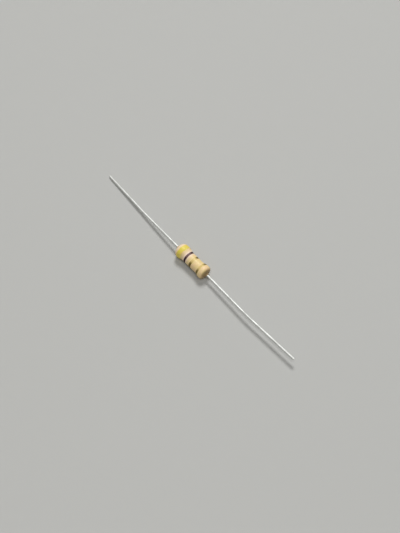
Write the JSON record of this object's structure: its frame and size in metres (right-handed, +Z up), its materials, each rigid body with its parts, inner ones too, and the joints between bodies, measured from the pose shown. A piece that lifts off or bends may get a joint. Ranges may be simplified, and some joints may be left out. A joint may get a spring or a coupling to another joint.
{
  "type": "axial resistor",
  "caption": "Axial carbon-film resistor: a dog-bone lacquered body with yellow, violet and gold colour bands, and a straight wire lead at each end for soldering through a board.",
  "frame": {"origin": "on the surface that the resistor lies on, below the middle of its body", "axes": "+X along the body from the yellow end to the gold end, +Z up from the surface that it lies on"},
  "size_m": [0.0615, 0.0034, 0.0034],
  "materials": {
    "ceramic": "matte",
    "carbon_film": "satin",
    "tinned_steel": "satin",
    "tinned_copper": "satin",
    "beige_lacquer": "satin",
    "yellow_paint": "satin",
    "violet_paint": "satin",
    "gold_paint": "satin"
  },
  "bodies": {
    "root": {"ceramic_rod": "ceramic", "carbon_film": "carbon_film", "yellow_end_cap": "tinned_steel", "gold_end_cap": "tinned_steel", "yellow_end_lead": "tinned_copper", "gold_end_lead": "tinned_copper", "lacquer_coat": "beige_lacquer", "yellow_band": "yellow_paint", "violet_band": "violet_paint", "gold_multiplier_band": "gold_paint", "gold_tolerance_band": "gold_paint"}
  },
  "joints": []
}
